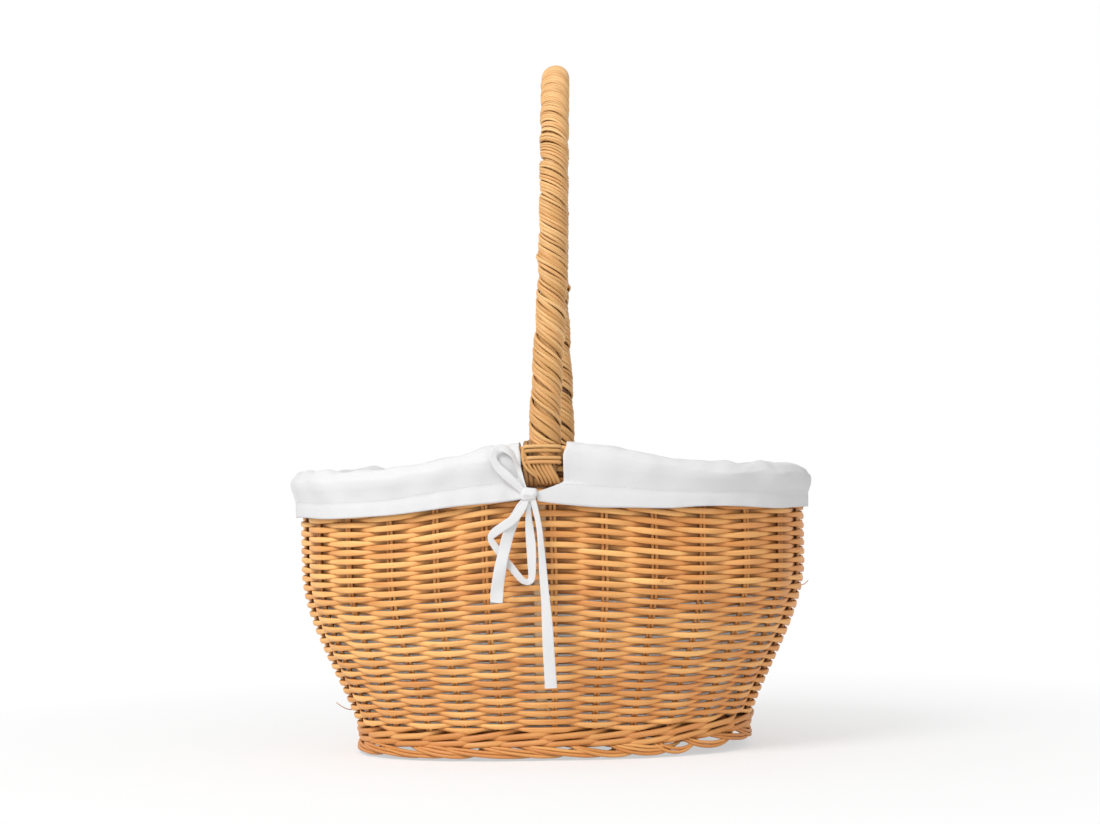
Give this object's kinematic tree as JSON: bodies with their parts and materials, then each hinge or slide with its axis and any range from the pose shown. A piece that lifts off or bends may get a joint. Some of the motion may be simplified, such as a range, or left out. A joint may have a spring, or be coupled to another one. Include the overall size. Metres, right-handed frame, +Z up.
{
  "type": "oval foraging basket",
  "caption": "Oval woven rattan basket with a fixed cane-wrapped arch handle and a white cotton liner folded over the rim and tied with ribbon bows.",
  "frame": {"origin": "on the ground under the middle of the basket", "axes": "+Z up; X along the basket's long side; the handle stands over Y, with the pictured front at -Y"},
  "size_m": [0.3728, 0.2682, 0.4875],
  "materials": {
    "cane": "natural honey-coloured cane, satin",
    "handle_rod": "peeled greenish-grey rattan rod, matt",
    "cotton": "plain white woven cotton, matt"
  },
  "bodies": {
    "basket": {"stake_01": "cane", "stake_02": "cane", "stake_03": "cane", "stake_04": "cane", "stake_05": "cane", "stake_06": "cane", "stake_07": "cane", "stake_08": "cane", "stake_09": "cane", "stake_10": "cane", "stake_11": "cane", "stake_12": "cane", "stake_13": "cane", "stake_14": "cane", "stake_15": "cane", "stake_16": "cane", "stake_17": "cane", "stake_18": "cane", "stake_19": "cane", "stake_20": "cane", "stake_21": "cane", "stake_22": "cane", "stake_23": "cane", "stake_24": "cane", "stake_25": "cane", "stake_26": "cane", "stake_27": "cane", "stake_28": "cane", "wall_weave_1": "cane", "wall_weave_2": "cane", "wall_weave_3": "cane", "wall_weave_4": "cane", "wall_weave_5": "cane", "wall_weave_6": "cane", "wall_weave_7": "cane", "foot_wale": "cane", "foot_border": "cane", "base_mat": "cane", "base_stick_1": "cane", "base_stick_2": "cane", "base_stick_3": "cane", "outer_rim_hoop": "cane", "inner_rim_hoop": "cane", "handle_core": "handle_rod", "handle_wrap": "cane", "front_lashing": "cane", "rear_lashing": "cane"},
    "liner": {"liner_bag": "cotton", "liner_cuff_left": "cotton", "liner_cuff_right": "cotton", "front_bow_knot": "cotton", "front_bow_upper_loop": "cotton", "front_bow_lower_loop": "cotton", "front_bow_short_tail": "cotton", "front_bow_long_tail": "cotton", "rear_bow_knot": "cotton", "rear_bow_upper_loop": "cotton", "rear_bow_lower_loop": "cotton", "rear_bow_short_tail": "cotton", "rear_bow_long_tail": "cotton"}
  },
  "joints": [
    {"name": "liner_lift", "type": "slide", "parent": "basket", "child": "liner", "axis": [0, 0, 1], "range_m": [0, 0.04]}
  ]
}
